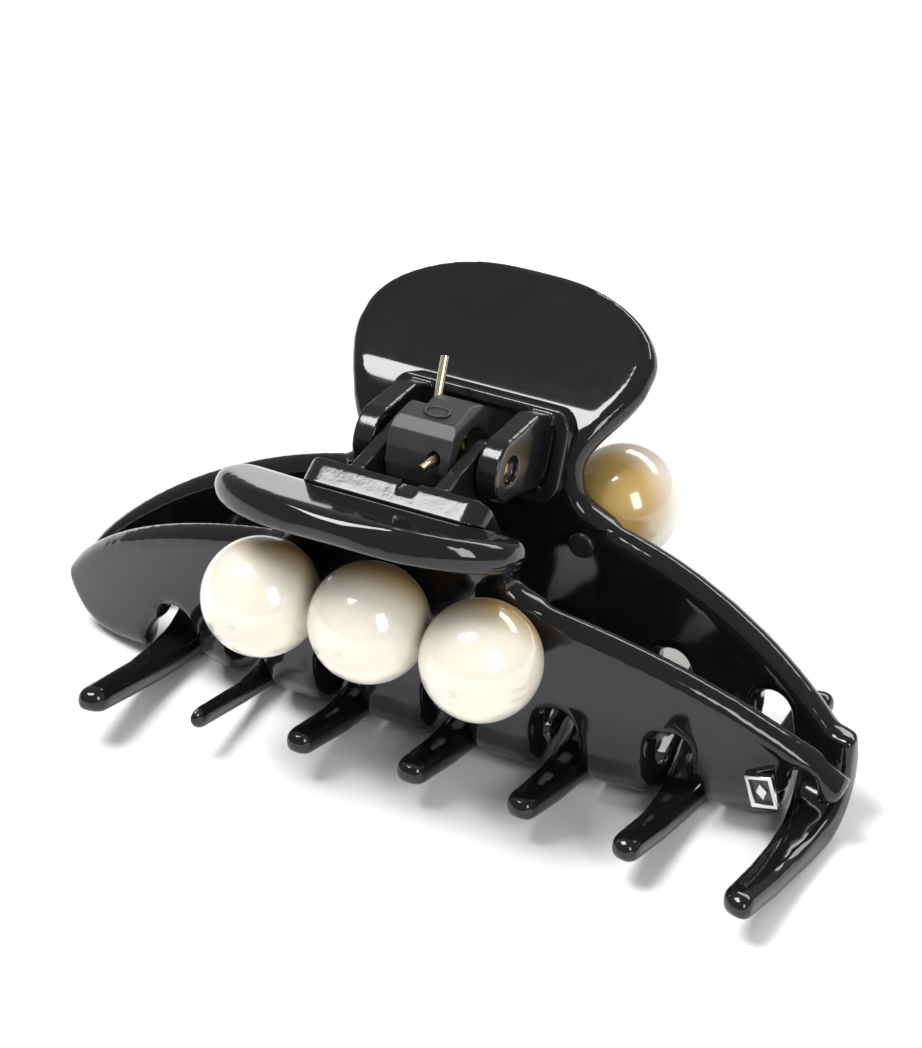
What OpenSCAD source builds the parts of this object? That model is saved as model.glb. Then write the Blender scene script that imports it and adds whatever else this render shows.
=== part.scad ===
// Spring claw hair clip with bead trim.
// +X runs along the clip, the front jaw lies toward -Y, the rear jaw toward +Y, +Z is up.
// Origin: middle of the footprint, on the surface the curved teeth rest on. Units are mm.

/* [Sheet jaws] */
// Thickness of the bent sheet
sheet = 3.2; // [2.6:0.1:3.6]
// How far the jaw ends bow in toward the other jaw
bow = 5.15; // [4:0.05:5.3]
// Half length of the middle run that has no bow
flat_run = 9; // [6:0.5:12]
// Inner radius of the bend between wing and teeth
heel_r = 3.8; // [3.4:0.1:4.4]
// Radius of the long curve of the teeth, middle of the sheet
tooth_curve = 58; // [50:1:80]
// Tooth reach past the heel
tooth_reach = 18.6; // [16:0.2:19]
// Left end of both jaws
left_end = 43.2; // [42.8:0.1:43.4]
// Right end of the front jaw
front_right_end = 44; // [43.6:0.1:44.2]
// Right end of the rear jaw
rear_right_end = 43.2; // [43:0.1:44]

/* [Slots] */
// Width of the round-topped slots
slot_w = 4.5; // [4.2:0.1:4.8]
// Height of the slot crown along the sheet
slot_crown = 9.75; // [9:0.05:10.5]

/* [Thumb tabs] */
// Half width of the neck
neck_half = 12.4; // [11:0.1:13]
// Half width of the fan at its widest
fan_half = 16.3; // [15:0.1:17]
// Middle radius of the curl that turns the tab outward
curl_r = 8; // [7:0.1:9]
// Straight length of the rear tab past its curl
rear_tab = 14.4; // [12:0.2:15]
// Straight length of the front tab past its curl
front_tab = 9.6; // [8:0.2:15]
// Sideways lean of the rear fan
rear_lean = -1.9; // [-2:0.1:0]
// Sideways lean of the front fan
front_lean = -0.8; // [-2:0.1:0]
// Slope of the tab tip above level, degrees
tip_slope = 25; // [18:1:32]

/* [Beads] */
// Bead diameter
bead_d = 11.9; // [11:0.1:11.95]
// Spacing of the beads along the wing
bead_pitch = 12.05; // [12:0.05:12.5]
// Peg diameter
peg_d = 1.2; // [1:0.1:1.6]

/* [Hinge] */
// Height of the hinge axis
hinge_z = 31.4; // [31:0.1:31.6]
// Hinge axis offset toward the front
hinge_y = -0.4; // [-0.6:0.1:0]
// Hinge pin diameter
pin_d = 1.6; // [1.4:0.1:1.8]
// Diametral running clearance of the pin in the front arms
pin_play = 0.1; // [0.04:0.02:0.16]
// Spring wire diameter
wire_d = 0.9; // [0.7:0.05:1]
// Mean radius of the spring coil
coil_r = 2.5; // [2.3:0.05:2.7]

/* [Hidden] */
$fn = 48;
half_sheet = sheet / 2;
heel_mid = heel_r + half_sheet;
// Height of the sheet's middle where the teeth touch the surface
rest_z = half_sheet + 0.09;
heel_angle = 88;
tooth_u = 1.86;
s_heel = heel_mid * heel_angle * PI / 180;
s_wing = s_heel + 16.5;
s_neck = s_wing + 0.1;
s_curl = s_neck + curl_r * (90 - tip_slope) * PI / 180;
rear_teeth = [-29.3, -19.2, -8, 4.1, 16.2, 27.8, 40.93];
front_teeth = [-23.5, -13.6, -1.95, 10.15, 22.25, 34.1];
front_slots = [-27.7, -19.2, -8, 4.1, 16.2, 27.8, 40.2];
rear_slots = [-33.4, -23.5, -13.6, -1.95, 10.15, 22.25, 34.1];
rear_reach = [for (d = [3.4, 2, 1.1, 0.1, 0, 0, -0.2]) tooth_reach + d];
front_reach = [for (d = [0, 0, 0, 0, 0, -4.6]) tooth_reach + d];

u_heel = tooth_u + heel_mid * sin(heel_angle);
z_heel = rest_z + heel_mid * (1 - cos(heel_angle));
u_wing = u_heel + 16.5 * cos(heel_angle);
z_wing = z_heel + 16.5 * sin(heel_angle);
z_neck = z_wing + 0.1;
curl_u = u_wing + curl_r;

// Direction of the sheet at arc length s, degrees from level
function lean(s) =
    s < 0 ? s / tooth_curve * 180 / PI
    : s < s_heel ? s / heel_mid * 180 / PI
    : s < s_wing ? heel_angle
    : s < s_neck ? 90
    : s < s_curl ? 90 - (s - s_neck) / curl_r * 180 / PI
    : tip_slope;
// Middle of the sheet at arc length s: [distance from the mid plane, height]
function mid(s) =
    s < 0 ? [tooth_u + tooth_curve * sin(lean(s)), rest_z + tooth_curve * (1 - cos(lean(s)))]
    : s < s_heel ? [tooth_u + heel_mid * sin(lean(s)), rest_z + heel_mid * (1 - cos(lean(s)))]
    : s < s_wing ? [u_heel + (s - s_heel) * cos(heel_angle), z_heel + (s - s_heel) * sin(heel_angle)]
    : s < s_neck ? [u_wing, z_wing + s - s_wing]
    : s < s_curl ? [curl_u - curl_r * sin(lean(s)), z_neck + curl_r * cos(lean(s))]
    : [curl_u - curl_r * sin(tip_slope) + (s - s_curl) * cos(tip_slope),
       z_neck + curl_r * cos(tip_slope) + (s - s_curl) * sin(tip_slope)];
// Inward bow of the jaw at x
function sag(x) = abs(x) < flat_run ? 0 : bow * pow((abs(x) - flat_run) / (43 - flat_run), 2);
// A point of the front jaw: along x, along the sheet s, off the middle of the sheet n (outward positive)
function jaw_point(x, s, n) =
    let (a = lean(s), m = mid(s))
    [x, -(m[0] + n * sin(a) - sag(x)), m[1] - n * cos(a)];

// The end lobes are left unbent: the wing runs straight down to the bottom edge
function end_point(x, s, n) = s >= s_heel ? jaw_point(x, s, n) :
    [x, -(u_heel + (s - s_heel) * cos(heel_angle) + n * sin(heel_angle) - sag(x)),
     z_heel + (s - s_heel) * sin(heel_angle) - n * cos(heel_angle)];

// Closed solid through a row of equal point loops that run clockwise seen from the last one
module skin(loops) {
    n = len(loops[0]);
    m = len(loops);
    pts = [for (l = loops) for (p = l) p];
    sides = [
        for (i = [0:m - 2]) for (j = [0:n - 1])
            let (k = (j + 1) % n, a = i * n, b = (i + 1) * n)
            each [[a + j, a + k, b + k], [a + j, b + k, b + j]]
    ];
    low = [for (j = [1:n - 2]) [0, j + 1, j]];
    high = [for (j = [1:n - 2]) [(m - 1) * n, (m - 1) * n + j, (m - 1) * n + j + 1]];
    polyhedron(points = pts, faces = concat(sides, low, high), convexity = 8);
}

// Loop in (s, n) for one column of the wing: rounded strip from lo to hi
strip_steps = [0, 0.12, 0.27, 0.52, 1];
function strip(lo, hi, b = half_sheet) =
    let (r = min(0.95 * b, (hi - lo) / 2.2))
    concat(
        [for (i = [0:4]) [lo + r + (hi - lo - 2 * r) * strip_steps[i], b]],
        [for (a = [50, 0, -50]) [hi - r + r * cos(a), b * sin(a)]],
        [for (i = [4:-1:0]) [lo + r + (hi - lo - 2 * r) * strip_steps[i], -b]],
        [for (a = [-50, 0, 50]) [lo + r - r * cos(a), b * sin(a)]]
    );

// Upper and lower outline of the wing along the sheet
function wing_top(x, end_x) = 8 + 17 * pow(max(0, 1 - pow(abs(x) / end_x, 2.2)), 0.8);
function lobe_low(x, edge_x) =
    let (mid_x = (edge_x - left_end) / 2, half = (left_end + edge_x) / 2)
    x > mid_x ? 1.7 + 0.9 * pow((x - mid_x) / half, 2)
    : 1.7 + 6.8 * (1 - sqrt(max(0, 1 - pow((mid_x - x) / half, 2.6))));
function slot_half(c) = c > 38 ? slot_w / 2 - 0.75 : c < -33 ? 0.9 : slot_w / 2;
function crown(c) = slot_crown - (c > 38 ? 1.3 : c < -33 ? 1.7 : c < -27 ? 2.3 : 0);
function slot_at(x, slots) = [for (c = slots) if (abs(x - c) <= slot_half(c) + 0.001) c];
function wing_low(x, slots, front) =
    let (hit = slot_at(x, slots))
    len(hit) > 0 ? crown(hit[0]) + sqrt(max(0, pow(slot_half(hit[0]), 2) - pow(x - hit[0], 2)))
    : front && x < -32.5 ? lobe_low(x, -32.5)
    : front && x < slots[0] ? 2.2 + 5.2 * pow((x + 32.5) / (slots[0] - slot_w / 2 + 32.5), 0.4)
    : x < -34 ? lobe_low(x, -34.3)
    : front && x > 41 ? 9 - 3.2 * sqrt(max(0, 1 - pow((x - 42.4) / (front_right_end - 42.2), 2)))
    : x > 36.4 && !front ? 9 - 2.2 * sqrt(max(0, 1 - pow((x - 36.4) / (rear_right_end - 36.4), 2.4)))
    : front ? 6.78 : 6.9;

module wing(slots, right_end, front) {
    ends = [0.999, 0.99, 0.975, 0.95, 0.91, 0.86, 0.8];
    past = front ? 1.05 : 1.07;
    near_slots = [for (c = slots) for (k = [-past, -1, -0.85, -0.5, 0, 0.5, 0.85, 1, past])
        c + k * slot_half(c)];
    between = [for (i = [0:len(slots) - 2]) (slots[i] + slots[i + 1]) / 2];
    rest = front ? [-30.5, -31.1, -31.7, -32.1, -32.35, -32.5, -33.2, -34] : [-27.4, -29.5, -31.5, -35, -36];
    right_rest = front ? [42, 42.5, 43, 43.5, 43.8] : [37.3, 38.6, 40.1, 41.3, 42.15, 42.75];
    tips = concat([for (e = ends) -left_end * e], [right_end * (front ? 0.9984 : 0.999)]);
    xs = sorted([for (x = concat(near_slots, between, rest, right_rest, tips))
        if (x < right_end) x]);
    skin([for (x = xs)
        let (e = x < 0 ? left_end : right_end,
             hi = abs(x) < neck_half ? 25.2 : wing_top(x, e),
             lo = min(wing_low(x, slots, front), hi - 0.3))
        [for (q = strip(lo, hi)) end_point(x, q[0], q[1])]]);
}
function sorted(v) = len(v) <= 1 ? v :
    let (p = v[floor(len(v) / 2)])
    concat(sorted([for (q = v) if (q < p) q]), [p], sorted([for (q = v) if (q > p) q]));

// Half width of the fan tab, sheet position counted from the wing shoulder
function fan(t, t_end) =
    let (widest = t_end - 9.4)
    t < 2.6 ? neck_half + 3 * pow((2.6 - t) / 2.6, 2.5)
    : t < widest ? neck_half + (fan_half - neck_half) * (1 - cos(180 * (t - 2.6) / (widest - 2.6))) / 2
    : fan_half * pow(max(0, 1 - pow((t - widest) / 9.4, 2.3)), 0.52);
module tab(length, side_lean) {
    t_end = s_curl + length - s_wing + 1.1;
    ts = concat([0, 0.5, 1.1, 1.8, 2.6, 3.8, 5, 6.2, 7.4, 8.6, 9.8, if (length > 11) each [12, 14]],
                [for (d = [8, 7, 6, 5, 4.1, 3.3, 2.6, 2, 1.5, 1, 0.6, 0.3, 0.12, 0.02]) t_end - d]);
    skin([for (t = ts)
        let (h = max(fan(t, t_end), 0.5),
             b = (half_sheet + 0.03) * sqrt(max(0.02, 1 - pow(max(0, (t - (t_end - 1.5)) / 1.55), 2))),
             r = min(1.4, h / 2))
        [for (q = tab_loop(h, b, r)) jaw_point(q[0] + side_lean * min(1, t / 5.5), s_wing - 1.1 + t, q[1])]]);
}
function tab_loop(h, b, r) = concat(
    [for (i = [-3:3]) [-(h - r) * i / 3, b]],
    [for (a = [50, 0, -50]) [-(h - r) - r * cos(a), b * sin(a)]],
    [for (i = [-3:3]) [(h - r) * i / 3, -b]],
    [for (a = [-50, 0, 50]) [h - r + r * cos(a), b * sin(a)]]
);

// Half width of a tooth by distance u past the mid plane, and of its lobe toward the wing.
// A tooth's edge gives the size of its corner rounding and how far it stands proud of the sheet.
function tooth_table(u) = lookup(u, [[-16, 1.6], [-12, 1.72], [-6, 1.9], [-3, 2], [0, 2.3], [3, 3.05],
                                     [6, 3.55], [9, 3.75]]);
function half_tooth(u, gap) = min(tooth_table(u), gap[0] - tooth_table(-u) - 0.5, gap[1]);
module tooth(x, left_gap, right_gap, reach, edge) {
    body = [for (s = [10.75, 8.35, 6.6, 5, 3.4, 1.7, 0, -3, -7, -11.5]) [s, 1]];
    tip = [for (k = [[1.3, 1], [0.75, 0.9], [0.3, 0.68], [0, 0.3]]) [k[0] - reach, k[1]]];
    skin([for (k = concat(body, tip)) tooth_loop(x, k[0], left_gap, right_gap, k[1], edge)]);
    // core of the tip
    hull()
        skin([for (k = [[3, 0.6], [1.2, 0.6]])
            tooth_loop(x, k[0] - reach, left_gap, right_gap, k[1], edge)]);
    hull()
        skin([for (k = [[6, 0.6], [4, 0.6]]) tooth_loop(x, k[0] - reach, left_gap, right_gap, k[1], edge)]);
}
function tooth_loop(x, s, left_gap, right_gap, k, edge) =
    let (u = mid(s)[0], l = half_tooth(u, left_gap) * k, r = half_tooth(u, right_gap) * k,
         root = s > 8.4 ? -0.35 : edge[1],
         b = (half_sheet + root - 0.3 * max(0, min(1, -s / 8)) - 0.1 * max(0, min(1, (-s - 8) / 8))) * k)
    [for (q = bar_loop(l, r, b, edge[0] * k)) jaw_point(x + q[0], s, q[1])];
function bar_loop(l, r, b, c) = [
    [-l, -b + c], [-l, b - c], [-l + c * 0.3, b - c * 0.3], [-l + c, b],
    [r - c, b], [r - c * 0.3, b - c * 0.3], [r, b - c], [r, -b + c],
    [r - c * 0.3, -b + c * 0.3], [r - c, -b], [-l + c, -b], [-l + c * 0.3, -b + c * 0.3]
];

bead_z = 20.1;
bead_lift = 0.7;
bead_xs = [-bead_pitch, 0, bead_pitch];
function bead_height(i) = i == 1 ? bead_z + bead_lift : bead_z;
wing_tilt = 90 - heel_angle;
// Outer face of the wing at a height on the straight part
function wing_face(z) = u_heel + (z - z_heel) / tan(heel_angle) + half_sheet / cos(wing_tilt);
// Local frame on the wing face: +Z outward along the sheet normal
module on_wing(x, z) {
    translate([x, -wing_face(z) + sag(x), z])
        rotate([90 + wing_tilt, 0, 0])
            children();
}
module jaw(teeth, slots, right_end, front) {
    difference() {
        union() {
            wing(slots, right_end, front);
            tab(front ? front_tab : rear_tab, front ? front_lean : rear_lean);
            for (i = [0:len(teeth) - 1])
                let (others = front ? rear_teeth : front_teeth,
                     l = tooth_gap(teeth[i], others, slots, -1),
                     r = tooth_gap(teeth[i], others, slots, 1))
                tooth(teeth[i], l, r, (front ? front_reach : rear_reach)[i], front ? [0.87, 0.1] : [0.84, 0.09]);
        }
        for (i = [0:2])
            on_wing(bead_xs[i], bead_height(i))
                cylinder(d = peg_d + 0.06, h = 12, center = true, $fn = 24);
        children();
    }
}
// Distance from a tooth to the nearest tooth of the other jaw on one side, and to the nearest slot edge
function tooth_gap(x, others, slots, side) =
    let (across = [for (c = others) if (side * (c - x) > 0) abs(c - x)],
         edges = [for (c = slots) if (side * (c - x) > 0) abs(c - x) - slot_half(c)])
    [len(across) > 0 ? min(across) : 9, len(edges) > 0 ? min(edges) : 2.3];

module front_jaw() {
    color([0.03, 0.03, 0.035])
        jaw(front_teeth, front_slots, front_right_end, true);
}
module rear_jaw() {
    color([0.03, 0.03, 0.035])
        mirror([0, 1, 0])
            jaw(rear_teeth, rear_slots, rear_right_end, false);
}

// Bracket pad seated on the inner face of a tab; profile in (u, z), back follows the tab
pad_half = 9.8;
pad_low = [4.3, 25];
pad_high = [8.5, 33.2];
pad_lean = atan2(pad_high[0] - pad_low[0], pad_high[1] - pad_low[1]);
pad_mid = (pad_low + pad_high) / 2;
pad_len = norm(pad_high - pad_low);
glue = 0.06;
// Inner face of the sheet less the glue line, in (u, z)
function inner_face(s) = mid(s) + (half_sheet + glue) * [-sin(lean(s)), cos(lean(s))];
module pad_profile() {
    polygon(concat(
        [pad_low, [inner_face(s_heel + 17)[0], pad_low[1]]],
        [for (i = [0:12]) inner_face(s_wing + (s_curl - s_wing + 1.5) * i / 12)],
        [[pad_high[0] + 3.3, pad_high[1] - 0.7], pad_high]
    ));
}
module pad(side) {
    intersection() {
        rotate([90, 0, 90])
            linear_extrude(height = 2 * pad_half, center = true)
                scale([side, 1])
                    pad_profile();
        // rounded corners seen square on to the pad
        translate([0, side * pad_mid[0], pad_mid[1]])
            rotate([side * (90 - pad_lean), 0, 0])
                linear_extrude(height = 24, center = true)
                    rounded_slab(2 * pad_half, pad_len + 0.4, 2.2);
    }
}
module rounded_slab(w, h, r) {
    square([w - 2 * r, h], center = true);
    square([w, h - 2 * r], center = true);
    for (x = [-1, 1], y = [-1, 1])
        translate([x * (w / 2 - r), y * (h / 2 - r)])
            circle(r = r);
}
module plate_x(x0, x1) {
    translate([x0, 0, 0])
        rotate([90, 0, 90])
            linear_extrude(height = x1 - x0)
                children();
}
lug_in = 5.6;
lug_out = 7.9;
lug_r = 3.3;
module rear_lug() {
    plate_x(lug_in, lug_out) {
        translate([hinge_y, hinge_z])
            circle(r = lug_r);
        polygon([[hinge_y + 0.3, hinge_z - lug_r], [5.2, 26.2], [8.6, 32.6], [5.6, 34.2],
                 [hinge_y - 0.3, hinge_z + lug_r - 0.02]]);
    }
}
module rear_hinge_bracket() {
    color([0.05, 0.05, 0.055])
        difference() {
            union() {
                difference() {
                    pad(1);
                    // sunk field inside the raised rim
                    translate([0, pad_mid[0], pad_mid[1]])
                        rotate([90 - pad_lean, 0, 0])
                            translate([0, 0, -0.55])
                                linear_extrude(height = 6)
                                    rounded_slab(17, pad_len - 2, 1.5);
                }
                rear_lug();
                mirror([1, 0, 0])
                    rear_lug();
            }
            translate([0, hinge_y, hinge_z])
                rotate([0, 90, 0])
                    cylinder(d = pin_d, h = 30, center = true);
            for (side = [-1, 1])
                translate([side * (lug_out - 0.25), hinge_y, hinge_z])
                    rotate([0, 90, 0])
                        cylinder(d = 2.7, h = 0.9, center = true);
        }
}
arm_in = 3.8;
arm_out = 5.3;
module front_arm() {
    plate_x(arm_in, arm_out) {
        translate([hinge_y, hinge_z])
            circle(r = 2.3);
        polygon([[hinge_y + 0.5, hinge_z - 2.24], [-5.1, 26.2], [-9, 32.2], [-8.7, 33.1],
                 [hinge_y, hinge_z + 2.3]]);
    }
}
leg_x = 1.3;
module front_hinge_bracket() {
    color([0.05, 0.05, 0.055])
        difference() {
            union() {
                pad(-1);
                front_arm();
                mirror([1, 0, 0])
                    front_arm();
            }
            translate([0, hinge_y, hinge_z])
                rotate([0, 90, 0])
                    cylinder(d = pin_d + pin_play, h = 30, center = true);
            // notch for the spring leg
            translate([leg_x - 0.8, -13, 32.6])
                cube([1.9, 8, 8]);
        }
}
module hinge_pin() {
    color([0.83, 0.68, 0.36])
        translate([0, hinge_y, hinge_z])
            rotate([0, 90, 0])
                cylinder(d = pin_d, h = 2 * 7.3, center = true);
}

// Spring wire path: rear leg, five turns, front leg
turns = 4.75;
coil_half = 2.35;
rear_dir = 38;
front_dir = 36;
rear_start = 360 - rear_dir;
front_stop = rear_start - 360 * turns;
function coil_at(a) = [
    -coil_half + 2 * coil_half * (rear_start - a) / (360 * turns),
    hinge_y + coil_r * cos(a),
    hinge_z + coil_r * sin(a)
];
steps = 96;
front_end = coil_at(front_stop);
leg_dir = let (v = [leg_x - front_end[0], -8.7 - front_end[1], 33.5 - front_end[2]]) v / norm(v);
spring_path = concat(
    [coil_at(rear_start) + 9.2 * [-0.1, sin(rear_dir), cos(rear_dir)],
     coil_at(rear_start) + 5 * [-0.05, sin(rear_dir), cos(rear_dir)]],
    [for (i = [0:steps]) coil_at(rear_start + (front_stop - rear_start) * i / steps)],
    [coil_at(front_stop) + 3 * leg_dir, coil_at(front_stop) + 7.9 * leg_dir]
);
module tube(path, r, n) {
    m = len(path);
    dirs = [for (i = [0:m - 1]) let (v = path[min(i + 1, m - 1)] - path[max(i - 1, 0)]) v / norm(v)];
    skin([for (i = [0:m - 1])
        let (t = dirs[i], a = cross(t, [1, 0, 0]) / norm(cross(t, [1, 0, 0])), b = cross(t, a))
        [for (k = [0:n - 1]) path[i] + r * (cos(360 * k / n) * a - sin(360 * k / n) * b)]]);
}
module torsion_spring() {
    color([0.86, 0.74, 0.45])
        tube(spring_path, wire_d / 2, 8);
}
cover_half = 3.45;
module spring_cover() {
    color([0.07, 0.07, 0.075])
        difference() {
            plate_x(-cover_half, cover_half)
                polygon([[-4.65, 29.5], [-4.95, 30.6], [-5, 32.1], [-4.6, 33.8], [-3.7, 35.4], [-2.4, 36.2],
                         [1.1, 36.4], [2.5, 36], [3.3, 35], [3.5, 33.2], [3.2, 31.4], [2.5, 31.4],
                         [-0.5, 31.4], [-3.5, 29.1]]);
            translate([0, hinge_y, hinge_z])
                rotate([0, 90, 0])
                    cylinder(r = coil_r + wire_d / 2 + 0.3, h = 20, center = true);
            // way out for the rear spring leg
            translate([-4, 0, 30])
                cube([2.6, 8, 8]);
            // way out for the front spring leg
            tube([coil_at(front_stop), coil_at(front_stop) + 7 * leg_dir], wire_d / 2 + 0.3, 12);
            // rounded long top edges
            for (side = [-1, 1])
                translate([side * cover_half, 0, 36.6])
                    rotate([0, 45, 0])
                        cube([1.1, 20, 1.1], center = true);
        }
}

module bead(i) {
    color([0.95, 0.93, 0.88])
        on_wing(bead_xs[i], bead_height(i))
            difference() {
                translate([0, 0, bead_d / 2 - 0.2])
                    sphere(d = bead_d);
                translate([0, 0, -4.97])
                    cube([12, 12, 10], center = true);
                translate([0, 0, -1])
                    cylinder(d = peg_d, h = 6.2, $fn = 32);
            }
}
module peg(i) {
    color([0.75, 0.72, 0.66])
        on_wing(bead_xs[i], bead_height(i)) {
            translate([0, 0, -sheet - 0.05])
                cylinder(d = peg_d, h = sheet + 5.1, $fn = 32);
            translate([0, 0, -sheet - 0.6])
                cylinder(d = 2.8, h = 0.55);
        }
}
module bead_front_left() {
    bead(0);
}
module bead_front_middle() {
    bead(1);
}
module bead_front_right() {
    bead(2);
}
module bead_rear_left() {
    mirror([0, 1, 0])
        bead(0);
}
module bead_rear_middle() {
    mirror([0, 1, 0])
        bead(1);
}
module bead_rear_right() {
    mirror([0, 1, 0])
        bead(2);
}
module peg_front_left() {
    peg(0);
}
module peg_front_middle() {
    peg(1);
}
module peg_front_right() {
    peg(2);
}
module peg_rear_left() {
    mirror([0, 1, 0])
        peg(0);
}
module peg_rear_middle() {
    mirror([0, 1, 0])
        peg(1);
}
module peg_rear_right() {
    mirror([0, 1, 0])
        peg(2);
}
badge_x = 37;
badge_z = 6.6;
module badge() {
    color([0.75, 0.75, 0.77])
        translate([badge_x, -wing_face(badge_z) + sag(badge_x) - 0.09, badge_z])
            rotate([90 + wing_tilt, 0, 13])
                translate([0, 0, 0.4]) {
                    difference() {
                        cube([2.9, 3.7, 0.8], center = true);
                        translate([0, 0, 0.45])
                            cube([2.1, 2.9, 0.8], center = true);
                    }
                    // plain lozenge inside the frame
                    translate([0, 0, 0.1])
                        rotate([0, 0, 45])
                            cube([0.95, 0.95, 0.5], center = true);
                }
}

front_jaw();
rear_jaw();
front_hinge_bracket();
rear_hinge_bracket();
hinge_pin();
torsion_spring();
spring_cover();
bead_front_left();
bead_front_middle();
bead_front_right();
bead_rear_left();
bead_rear_middle();
bead_rear_right();
peg_front_left();
peg_front_middle();
peg_front_right();
peg_rear_left();
peg_rear_middle();
peg_rear_right();
badge();
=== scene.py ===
import math

import bmesh
import bpy
from mathutils import Matrix, Vector


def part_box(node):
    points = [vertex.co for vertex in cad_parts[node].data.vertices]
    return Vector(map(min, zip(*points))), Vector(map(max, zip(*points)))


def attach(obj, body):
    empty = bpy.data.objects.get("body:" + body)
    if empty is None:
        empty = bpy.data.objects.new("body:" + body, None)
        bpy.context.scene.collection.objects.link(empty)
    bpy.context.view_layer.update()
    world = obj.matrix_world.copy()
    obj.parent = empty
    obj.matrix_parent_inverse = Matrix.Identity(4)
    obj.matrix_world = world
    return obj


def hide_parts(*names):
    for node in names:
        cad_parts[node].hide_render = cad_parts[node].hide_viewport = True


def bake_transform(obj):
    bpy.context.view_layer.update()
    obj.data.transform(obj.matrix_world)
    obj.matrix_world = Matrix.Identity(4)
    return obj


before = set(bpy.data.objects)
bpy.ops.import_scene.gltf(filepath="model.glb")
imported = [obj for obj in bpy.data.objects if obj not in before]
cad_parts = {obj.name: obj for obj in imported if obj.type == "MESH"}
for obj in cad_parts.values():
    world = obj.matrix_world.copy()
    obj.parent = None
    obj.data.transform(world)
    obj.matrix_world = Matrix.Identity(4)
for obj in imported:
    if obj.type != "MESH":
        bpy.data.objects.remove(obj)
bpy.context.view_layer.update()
mm = 0.001
print("frame loaded")


# ---- shared helpers

def activate(obj):
    if bpy.context.object and bpy.context.object.mode != "OBJECT":
        bpy.ops.object.mode_set(mode="OBJECT")
    bpy.ops.object.select_all(action="DESELECT")
    obj.select_set(True)
    bpy.context.view_layer.objects.active = obj
    return obj


def added(name):
    obj = bpy.context.object
    obj.name = name
    obj.data.name = name
    return obj


def applied(obj, kind, **settings):
    activate(obj)
    modifier = obj.modifiers.new(kind.title(), kind)
    for key, value in settings.items():
        setattr(modifier, key, value)
    bpy.ops.object.modifier_apply(modifier=modifier.name)
    return obj


def settled(obj):
    # leaves the piece at the origin, unturned, with its place in its mesh
    activate(obj)
    bpy.ops.object.transform_apply(location=True, rotation=True, scale=True)
    return obj


def copyOf(nodeName, pieceName):
    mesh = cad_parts[nodeName].data.copy()
    obj = bpy.data.objects.new(pieceName, mesh)
    bpy.context.scene.collection.objects.link(obj)
    mesh.materials.clear()
    activate(obj)
    bpy.ops.object.mode_set(mode="EDIT")
    bpy.ops.mesh.select_all(action="SELECT")
    bpy.ops.mesh.remove_doubles(threshold=0.002 * mm)
    bpy.ops.object.mode_set(mode="OBJECT")
    return obj


def moulded(nodeName, pieceName, voxel, rounds, factor=0.5):
    # one skin over the whole part, with the small edge rounding that polishing leaves
    obj = copyOf(nodeName, pieceName)
    applied(obj, "REMESH", mode="VOXEL", voxel_size=voxel * mm, adaptivity=0)
    applied(obj, "SMOOTH", factor=factor, iterations=rounds)
    activate(obj)
    bpy.ops.object.shade_smooth()
    return obj


def finished(obj, material, body, slotName, *nodes):
    obj.data.materials.clear()
    obj.data.materials.append(material)
    if nodes:
        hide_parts(*nodes)
    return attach(obj, body) if body else obj


def turned(profile, name, segments=64):
    # a profile of (radius, height) points in mm, spun about Z
    mesh = bpy.data.meshes.new(name)
    obj = bpy.data.objects.new(name, mesh)
    bpy.context.scene.collection.objects.link(obj)
    form = bmesh.new()
    points = [form.verts.new((r * mm, 0, z * mm)) for r, z in profile]
    for a, b in zip(points, points[1:]):
        form.edges.new((a, b))
    form.to_mesh(mesh)
    form.free()
    activate(obj)
    bpy.ops.object.mode_set(mode="EDIT")
    bpy.ops.mesh.select_all(action="SELECT")
    bpy.ops.mesh.spin(steps=segments, angle=2 * math.pi, center=(0, 0, 0), axis=(0, 0, 1))
    bpy.ops.mesh.select_all(action="SELECT")
    bpy.ops.mesh.remove_doubles(threshold=0.003 * mm)
    bpy.ops.mesh.normals_make_consistent(inside=False)
    bpy.ops.object.mode_set(mode="OBJECT")
    bpy.ops.object.shade_smooth()
    return obj


# ---- shader writing

class Socket:
    # a shader value that takes part in Python sums
    def __init__(self, tree, output):
        self.tree = tree
        self.output = output

    def math(self, operation, a, b=0.0):
        node = self.tree.nodes.new("ShaderNodeMath")
        node.operation = operation
        for slot, value in zip(node.inputs, (a, b)):
            if isinstance(value, Socket):
                self.tree.links.new(value.output, slot)
            else:
                slot.default_value = value
        return Socket(self.tree, node.outputs[0])

    def __add__(self, other):
        return self.math("ADD", self, other)

    def __radd__(self, other):
        return self.math("ADD", other, self)

    def __sub__(self, other):
        return self.math("SUBTRACT", self, other)

    def __rsub__(self, other):
        return self.math("SUBTRACT", other, self)

    def __mul__(self, other):
        return self.math("MULTIPLY", self, other)

    def __rmul__(self, other):
        return self.math("MULTIPLY", other, self)

    def __truediv__(self, other):
        return self.math("DIVIDE", self, other)

    def __pow__(self, other):
        return self.math("POWER", self, other)

    def above(self, other):
        return self.math("MAXIMUM", self, other)

    def below(self, other):
        return self.math("MINIMUM", self, other)


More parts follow.
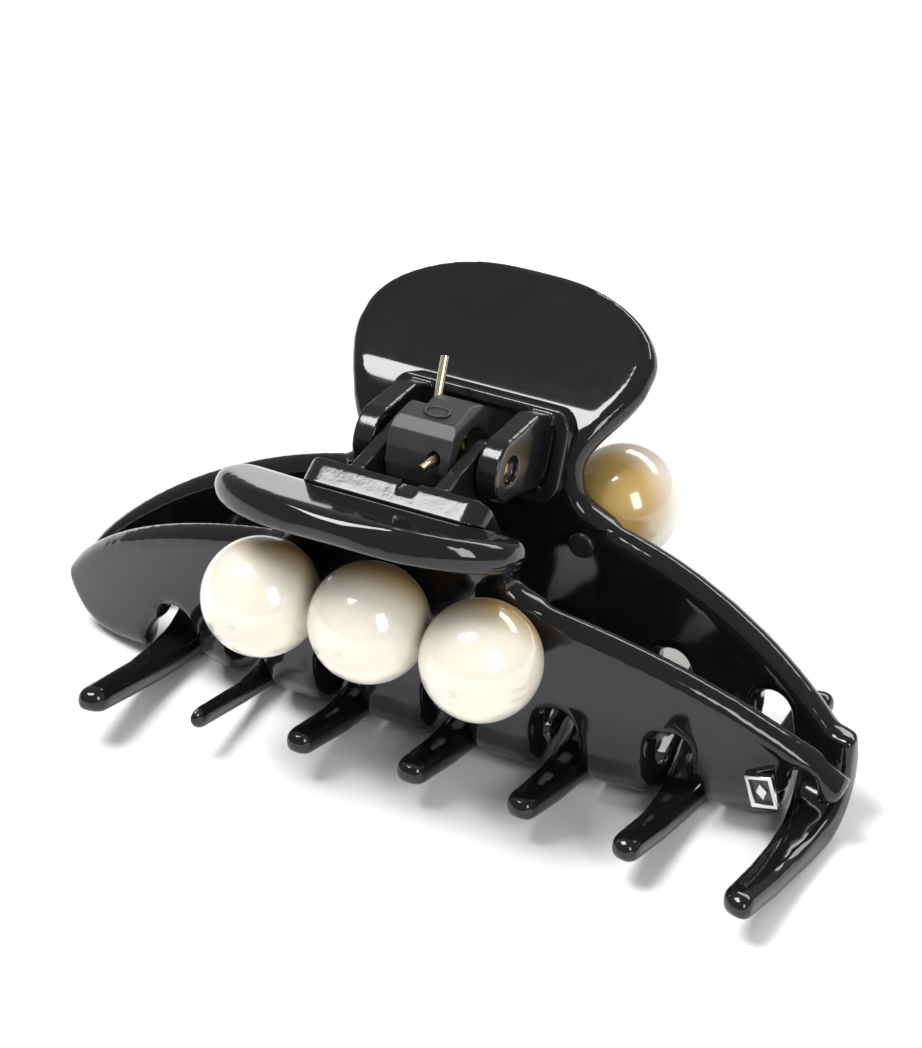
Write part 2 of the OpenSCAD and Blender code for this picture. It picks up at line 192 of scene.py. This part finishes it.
class Finish:
    # one material: a Principled shader and the nodes that feed it
    def __init__(self, name, **constants):
        self.material = bpy.data.materials.new(name)
        self.material.use_nodes = True
        self.tree = self.material.node_tree
        self.shader = self.tree.nodes["Principled BSDF"]
        for key, value in constants.items():
            self.shader.inputs[key.replace("_", " ")].default_value = value
        coordinates = self.tree.nodes.new("ShaderNodeTexCoord")
        self.place = Socket(self.tree, coordinates.outputs["Object"])

    def node(self, kind, settings=None, output=0, **inputs):
        made = self.tree.nodes.new(kind)
        for key, value in (settings or {}).items():
            setattr(made, key, value)
        for key, value in inputs.items():
            numbered = key[0] == "i" and key[1:].isdigit()      # i6 is the node's seventh socket
            slot = made.inputs[int(key[1:])] if numbered else made.inputs[key]
            if isinstance(value, Socket):
                self.tree.links.new(value.output, slot)
            else:
                slot.default_value = value
        return Socket(self.tree, made.outputs[output])

    def noise(self, scale, detail=3, roughness=0.5):
        return self.node("ShaderNodeTexNoise", Vector=self.place, Scale=scale, Detail=detail,
                         Roughness=roughness)

    def blend(self, amount, a, b):
        a, b = (c if isinstance(c, Socket) else (*c, 1) for c in (a, b))
        return self.node("ShaderNodeMix", {"data_type": "RGBA"}, output=2, i0=amount, i6=a, i7=b)

    def axes(self):
        split = self.tree.nodes.new("ShaderNodeSeparateXYZ")
        self.tree.links.new(self.place.output, split.inputs[0])
        return [Socket(self.tree, o) for o in split.outputs]

    def feed(self, name, value):
        self.tree.links.new(value.output, self.shader.inputs[name])

    def bump(self, height, strength, distance):
        normal = self.node("ShaderNodeBump", Height=height, Strength=strength, Distance=distance)
        self.feed("Normal", normal)


acetateLook = {
    "deep": (0.004, 0.004, 0.005),    # body colour of the polished sheet
    "cloud": (0.010, 0.009, 0.010),   # faint lighter clouding
    "gloss": 0.055,
    "haze": 0.07,
}


def polishedAcetate():
    f = Finish("polishedAcetate", IOR=1.5, Specular_IOR_Level=0.5)
    cloud = f.noise(140, 4)
    f.feed("Base Color", f.blend(cloud, acetateLook["deep"], acetateLook["cloud"]))
    rubs = f.noise(2600, 2)
    wear = f.noise(420, 5, 0.62)
    f.feed("Roughness", acetateLook["gloss"] + acetateLook["haze"] * (wear ** 3) + 0.02 * rubs)
    f.bump(f.noise(95, 2) + 0.015 * f.noise(5200, 1), 0.10, 0.00035)
    return f.material


def mouldedGloss():
    f = Finish("mouldedGloss", IOR=1.5)
    f.feed("Base Color", f.blend(f.noise(260, 3), (0.006, 0.006, 0.007), (0.014, 0.013, 0.014)))
    f.feed("Roughness", 0.10 + 0.14 * f.noise(700, 4, 0.6) ** 2)
    f.bump(f.noise(420, 3) + 0.1 * f.noise(6500, 2), 0.22, 0.00022)
    return f.material


def satinCover():
    f = Finish("satinCover", IOR=1.5)
    grain = f.noise(7200, 3, 0.65)
    f.feed("Base Color", f.blend(f.noise(500, 3), (0.018, 0.018, 0.020), (0.034, 0.033, 0.035)))
    f.feed("Roughness", 0.36 + 0.16 * grain)
    f.bump(grain, 0.32, 0.00006)
    return f.material


def goldMetal(name, tint, shade):
    f = Finish(name, IOR=1.5, Metallic=1.0)
    streaks = f.noise(900, 4, 0.6)
    f.feed("Base Color", f.blend(streaks, tint, shade))
    f.feed("Roughness", 0.14 + 0.22 * f.noise(2400, 3) ** 2)
    f.bump(f.noise(5200, 2), 0.12, 0.00004)
    return f.material


pearlLook = {
    "ivory": (0.82, 0.79, 0.72),
    "cream": (0.76, 0.69, 0.55),
    "reflectedGold": (0.50, 0.33, 0.10),      # lacquer toned gold where it faces the dark sheet, a painted reflection
    "reflectionHeight": 19.5,               # height where the painted reflection starts to deepen, mm
    "beadDepth": 15.2,                # how far out a bead sits from the mid plane, mm
    "beadRadius": 5.9,
}


def pearlLacquer(side):
    # side is -1 for the front beads and 1 for the rear ones
    f = Finish("pearlLacquer" + ("Front" if side < 0 else "Rear"), IOR=1.52,
               Coat_Weight=1.0, Coat_Roughness=0.06, Coat_IOR=1.6,
               Subsurface_Weight=0.12, Subsurface_Scale=0.002,
               Sheen_Weight=0.25, Sheen_Roughness=0.3)
    _, y, z = f.axes()
    radius = pearlLook["beadRadius"] * mm
    toward = (side * pearlLook["beadDepth"] * mm - y) * side / radius
    up = (z - pearlLook["reflectionHeight"] * mm) / radius
    # painted reflection: gold tone grows toward the sheet side and the top of each bead
    paintedReflection = (toward * 0.85 + up * 0.5 + 0.10 * f.noise(160, 2) - 0.30).above(0.0).below(1.0)
    base = f.blend(f.noise(340, 4, 0.6), pearlLook["ivory"], pearlLook["cream"])
    f.feed("Base Color", f.blend((paintedReflection * 1.9).below(1.0), base, pearlLook["reflectedGold"]))
    f.feed("Roughness", 0.20 + 0.10 * f.noise(900, 3))
    f.bump(f.noise(520, 3), 0.05, 0.00012)
    return f.material


def pegPlastic():
    f = Finish("pegPlastic", IOR=1.49)
    f.feed("Base Color", f.blend(f.noise(800, 3), (0.010, 0.010, 0.011), (0.022, 0.021, 0.022)))
    f.feed("Roughness", 0.28 + 0.15 * f.noise(1800, 3))
    f.bump(f.noise(2500, 2), 0.1, 0.00005)
    return f.material


def nickel():
    f = Finish("nickel", Metallic=1.0)
    f.feed("Base Color", f.blend(f.noise(1500, 3), (0.66, 0.65, 0.63), (0.80, 0.79, 0.77)))
    f.feed("Roughness", 0.12 + 0.18 * f.noise(3000, 3) ** 2)
    f.bump(f.noise(6000, 2), 0.15, 0.00003)
    return f.material


def darkEnamel():
    f = Finish("darkEnamel", IOR=1.5, Coat_Weight=0.5, Coat_Roughness=0.1)
    f.feed("Base Color", f.blend(f.noise(2500, 3), (0.012, 0.012, 0.013), (0.04, 0.038, 0.036)))
    f.feed("Roughness", 0.3 + 0.2 * f.noise(4000, 2))
    return f.material


acetate = polishedAcetate()
bracketGloss = mouldedGloss()
coverSatin = satinCover()
wireGold = goldMetal("wireGold", (0.93, 0.82, 0.58), (0.84, 0.68, 0.40))
pinGold = goldMetal("pinGold", (0.86, 0.72, 0.44), (0.72, 0.54, 0.27))
pearlFront = pearlLacquer(-1)
pearlRear = pearlLacquer(1)
pegBlack = pegPlastic()
badgeNickel = nickel()
badgeEnamel = darkEnamel()
print("materials written")


# ---- jaws

jawMake = {"voxel": 0.34, "rounds": 9}


def jaws():
    for side, body in (("front", "front_half"), ("rear", "rear_half")):
        jaw = moulded(side + "_jaw", side + "JawSheet", jawMake["voxel"], jawMake["rounds"])
        finished(jaw, acetate, body, "jaw_black", side + "_jaw")


# ---- hinge brackets

bracketMake = {"voxel": 0.15, "rounds": 7}


def brackets():
    for side, body in (("front", "front_half"), ("rear", "rear_half")):
        name = side + "_hinge_bracket"
        bracket = moulded(name, side + "HingeBracket", bracketMake["voxel"], bracketMake["rounds"])
        finished(bracket, bracketGloss, body, "bracket_black", name)


# ---- hinge axis: pin, coil and cover

axisLow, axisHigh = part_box("hinge_pin")
axisY = (axisLow.y + axisHigh.y) / 2 / mm
axisZ = (axisLow.z + axisHigh.z) / 2 / mm
pinMake = {"radius": 0.8, "dome": 0.28, "half": (axisHigh.x - axisLow.x) / 2 / mm}


def hingePin():
    bpy.ops.mesh.primitive_cylinder_add(
        vertices=48, radius=pinMake["radius"] * mm, depth=2 * pinMake["half"] * mm,
        location=(0, axisY * mm, axisZ * mm), rotation=(0, math.pi / 2, 0))
    pin = settled(added("hingePinRod"))
    bpy.ops.object.mode_set(mode="EDIT")
    bpy.ops.mesh.select_all(action="DESELECT")
    bpy.ops.object.mode_set(mode="OBJECT")
    for face in pin.data.polygons:
        face.select = abs(face.normal.x) > 0.9
    bpy.ops.object.mode_set(mode="EDIT")
    bpy.ops.mesh.bevel(offset=pinMake["dome"] * mm, segments=5, affect="EDGES")
    bpy.ops.object.mode_set(mode="OBJECT")
    bpy.ops.object.shade_smooth()
    finished(pin, pinGold, "rear_half", "gold_pin", "hinge_pin")


springMake = {
    "wire": 0.45, "coil": 2.5, "half": 2.35, "turns": 4.75, "rearLean": 38,
    "rearLeg": 9.2, "frontLeg": 7.9, "frontX": 1.3, "frontEnd": (-8.7, 33.5),
}


def springRoute():
    s = springMake
    start = 360 - s["rearLean"]

    def coilAt(angle):
        a = math.radians(angle)
        x = -s["half"] + 2 * s["half"] * (start - angle) / (360 * s["turns"])
        return Vector((x, axisY + s["coil"] * math.cos(a), axisZ + s["coil"] * math.sin(a)))

    lean = math.radians(s["rearLean"])
    leg = Vector((-0.1, math.sin(lean), math.cos(lean)))
    first, last = coilAt(start), coilAt(start - 360 * s["turns"])
    out = (Vector((s["frontX"], *s["frontEnd"])) - last).normalized()
    route = [first + leg * s["rearLeg"] * k for k in (1, 0.8, 0.6, 0.4, 0.2)]
    route += [coilAt(start - 360 * s["turns"] * i / 190) for i in range(191)]
    route += [last + out * s["frontLeg"] * k for k in (0.25, 0.5, 0.75, 1)]
    return route


def torsionSpring():
    route = springRoute()
    curve = bpy.data.curves.new("torsionCoil", "CURVE")
    curve.dimensions = "3D"
    curve.bevel_depth = springMake["wire"] * mm
    curve.bevel_resolution = 5        # sides of the round wire
    curve.use_fill_caps = True
    spline = curve.splines.new("POLY")
    spline.points.add(len(route) - 1)
    for point, place in zip(spline.points, route):
        point.co = (*(place * mm), 1)
    obj = bpy.data.objects.new("torsionCoil", curve)
    bpy.context.scene.collection.objects.link(obj)
    activate(obj)
    bpy.ops.object.convert(target="MESH")
    coil = bpy.context.object
    bpy.ops.object.shade_smooth_by_angle(angle=math.radians(50))
    finished(coil, wireGold, None, "gold_wire", "torsion_spring")
    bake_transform(coil)


coverMake = {"voxel": 0.11, "rounds": 6, "markWide": 2.5, "markDeep": 1.7, "markRise": 0.14}


def springCover():
    cover = moulded("spring_cover", "springCoverCap", coverMake["voxel"], coverMake["rounds"])
    finished(cover, coverSatin, "rear_half", "cover_black", "spring_cover")
    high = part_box("spring_cover")[1]
    # raised plain oval ring on the crown
    bpy.ops.mesh.primitive_torus_add(
        major_radius=1, minor_radius=0.16, major_segments=48, minor_segments=10,
        location=(0.3 * mm, (axisY - 0.6) * mm, high.z - 0.02 * mm),
        rotation=(math.radians(-3), 0, 0))
    ring = added("coverRing")
    c = coverMake
    ring.scale = (c["markWide"] / 2 * mm, c["markDeep"] / 2 * mm, c["markRise"] / 0.16 * mm)
    settled(ring)
    bpy.ops.object.shade_smooth()
    finished(ring, coverSatin, "rear_half", "cover_black")


# ---- beads and their pegs

beadMake = {"diameter": 11.9, "hole": 0.62, "seat": 0.22, "tilt": 2}
pegMake = {
    "belowTop": 1.4,     # from a peg's highest point to its axis, mm
    "profile": [(0, 0), (1.05, 0.02), (1.3, 0.12), (1.4, 0.3), (1.4, 0.48), (1.34, 0.55), (0.6, 0.55),
                (0.6, 8.2), (0, 8.2)],
}


def beadPlace(node, side):
    # centre of a bead and the way it faces, from its solid
    low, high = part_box(node)
    tilt = math.radians(beadMake["tilt"])
    outward = Vector((0, side * math.cos(tilt), -math.sin(tilt)))
    pole = high.y if side > 0 else low.y
    radius = beadMake["diameter"] / 2 * mm
    centre = Vector(((low.x + high.x) / 2, pole - side * radius, (low.z + high.z) / 2))
    return centre, outward


def beads():
    radius = beadMake["diameter"] / 2
    hole = beadMake["hole"]
    start = math.asin(hole / radius)
    flat = math.acos((radius - beadMake["seat"]) / radius)
    arc = [flat + (math.pi - start - flat) * i / 60 for i in range(61)]
    profile = [(0, -radius * math.cos(flat))] + [(radius * math.sin(a), -radius * math.cos(a)) for a in arc]
    profile += [(hole * 0.8, radius - 0.12), (hole * 0.6, radius - 0.16), (0, radius - 0.17)]
    rows = ((-1, "front", "front_half", pearlFront), (1, "rear", "rear_half", pearlRear))
    for side, group, body, lacquer in rows:
        for place in ("left", "middle", "right"):
            node = "bead_" + group + "_" + place
            centre, outward = beadPlace(node, side)
            bead = turned(profile, group + place.title() + "Pearl", 96)
            turn = outward.to_track_quat("Z", "Y").to_matrix().to_4x4()
            bead.data.transform(Matrix.Translation(centre) @ turn)
            finished(bead, lacquer, body, "pearl", node)
            pegHead(group, place, side, body, outward)


def pegHead(group, place, side, body, outward):
    node = "peg_" + group + "_" + place
    low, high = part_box(node)
    inner = low.y if side > 0 else high.y
    middle = Vector(((low.x + high.x) / 2, inner, high.z - pegMake["belowTop"] * mm))
    head = turned(pegMake["profile"], group + place.title() + "Peg", 48)
    turn = outward.to_track_quat("Z", "Y").to_matrix().to_4x4()
    head.data.transform(Matrix.Translation(middle) @ turn)
    finished(head, pegBlack, body, "peg_plastic", node)


# ---- badge

badgeMake = {"wide": 2.9, "tall": 3.7, "deep": 0.8, "rim": 0.4, "turn": 13, "lozenge": 0.62}


def badgePlace():
    low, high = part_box("badge")
    centre = (low + high) / 2
    lean = Matrix.Rotation(math.radians(92), 4, "X")
    turn = lean @ Matrix.Rotation(math.radians(badgeMake["turn"]), 4, "Z")
    return Matrix.Translation(centre) @ turn


def badge():
    b = badgeMake
    place = badgePlace()
    bpy.ops.mesh.primitive_plane_add(size=1)
    frameRing = added("badgeFrame")
    frameRing.scale = (b["wide"] * mm, b["tall"] * mm, 1)
    settled(frameRing)
    bpy.ops.object.mode_set(mode="EDIT")
    bpy.ops.mesh.select_all(action="SELECT")
    bpy.ops.mesh.inset(thickness=b["rim"] * mm)
    bpy.ops.mesh.delete(type="ONLY_FACE")
    bpy.ops.mesh.select_all(action="SELECT")
    bpy.ops.object.mode_set(mode="OBJECT")
    applied(frameRing, "SOLIDIFY", thickness=b["deep"] * mm, offset=0)
    applied(frameRing, "BEVEL", width=0.09 * mm, segments=3)
    frameRing.data.transform(place)
    activate(frameRing)
    bpy.ops.object.shade_smooth_by_angle(angle=math.radians(35))
    finished(frameRing, badgeNickel, "front_half", "badge_metal", "badge")

    bpy.ops.mesh.primitive_cube_add(size=1)
    floorPlate = added("badgeFloor")
    floorPlate.scale = ((b["wide"] - 0.5) * mm, (b["tall"] - 0.5) * mm, 0.36 * mm)
    settled(floorPlate)
    applied(floorPlate, "BEVEL", width=0.05 * mm, segments=2)
    floorPlate.data.transform(place @ Matrix.Translation((0, 0, -0.2 * mm)))
    finished(floorPlate, badgeEnamel, "front_half", "badge_metal")

    bpy.ops.mesh.primitive_cylinder_add(vertices=4, radius=b["lozenge"] * mm, depth=0.4 * mm)
    lozenge = added("badgeLozenge")
    lozenge.scale = (1, 1.5, 1)
    settled(lozenge)
    applied(lozenge, "BEVEL", width=0.08 * mm, segments=3)
    lozenge.data.transform(place @ Matrix.Translation((0, 0, 0.12 * mm)))
    finished(lozenge, badgeNickel, "front_half", "badge_metal")


# ---- surroundings

studio = {
    "floorDrop": 0.02, "floorSize": 2.4, "sky": 0.30,
    "azimuth": 29.53, "elevation": 34.01, "roll": -2.08,
    "distance": 398.4, "aim": (-0.09, 3.49, 20.57), "lens": 138.71,
}


def floor():
    bpy.ops.mesh.primitive_plane_add(size=studio["floorSize"], location=(0, 0, -studio["floorDrop"] * mm))
    ground = added("studioFloor")
    f = Finish("paleFloor", Roughness=0.75)
    f.shader.inputs["Specular IOR Level"].default_value = 0.15
    f.feed("Base Color", f.blend(f.noise(6, 2), (0.93, 0.93, 0.935), (0.95, 0.95, 0.95)))
    ground.data.materials.append(f.material)


def lamp(name, place, aim, size, sizeY, power, colour=(1, 1, 1)):
    data = bpy.data.lights.new(name, "AREA")
    data.shape = "RECTANGLE"
    data.size, data.size_y = size, sizeY
    data.energy = power
    data.color = colour
    obj = bpy.data.objects.new(name, data)
    bpy.context.scene.collection.objects.link(obj)
    obj.location = place
    obj.rotation_euler = (Vector(aim) - Vector(place)).to_track_quat("-Z", "Y").to_euler()
    return obj


def lights():
    world = bpy.data.worlds.new("softRoom")
    bpy.context.scene.world = world
    world.use_nodes = True
    background = world.node_tree.nodes["Background"]
    background.inputs["Color"].default_value = (1, 1, 1, 1)
    background.inputs["Strength"].default_value = studio["sky"]
    lamp("keySoftbox", (-0.25, -0.15, 0.75), (0, 0, 0.01), 0.34, 0.34, 6.5)
    lamp("fillSoftbox", (0.55, -0.35, 0.4), (0, 0, 0.02), 0.22, 0.4, 2.6)
    lamp("rearStrip", (0.1, 0.6, 0.45), (0, 0, 0.02), 0.7, 0.16, 2.4, (1, 0.97, 0.94))


def camera():
    s = studio
    data = bpy.data.cameras.new("viewCamera")
    data.lens = s["lens"]
    data.sensor_width = 36
    data.clip_start, data.clip_end = 0.01, 10
    obj = bpy.data.objects.new("viewCamera", data)
    bpy.context.scene.collection.objects.link(obj)
    a, e = math.radians(s["azimuth"]), math.radians(s["elevation"])
    back = Vector((math.sin(a) * math.cos(e), -math.cos(a) * math.cos(e), math.sin(e)))
    obj.location = (Vector(s["aim"]) + back * s["distance"]) * mm
    tilt = Matrix.Rotation(math.radians(s["roll"]), 4, "Z")
    obj.rotation_euler = ((-back).to_track_quat("-Z", "Y").to_matrix().to_4x4() @ tilt).to_euler()
    bpy.context.scene.camera = obj
    bpy.context.scene.view_settings.view_transform = "Standard"


jaws()
print("jaws done")
brackets()
hingePin()
torsionSpring()
springCover()
print("hinge done")
beads()
badge()
print("trim done")
floor()
lights()
camera()
print("studio done")
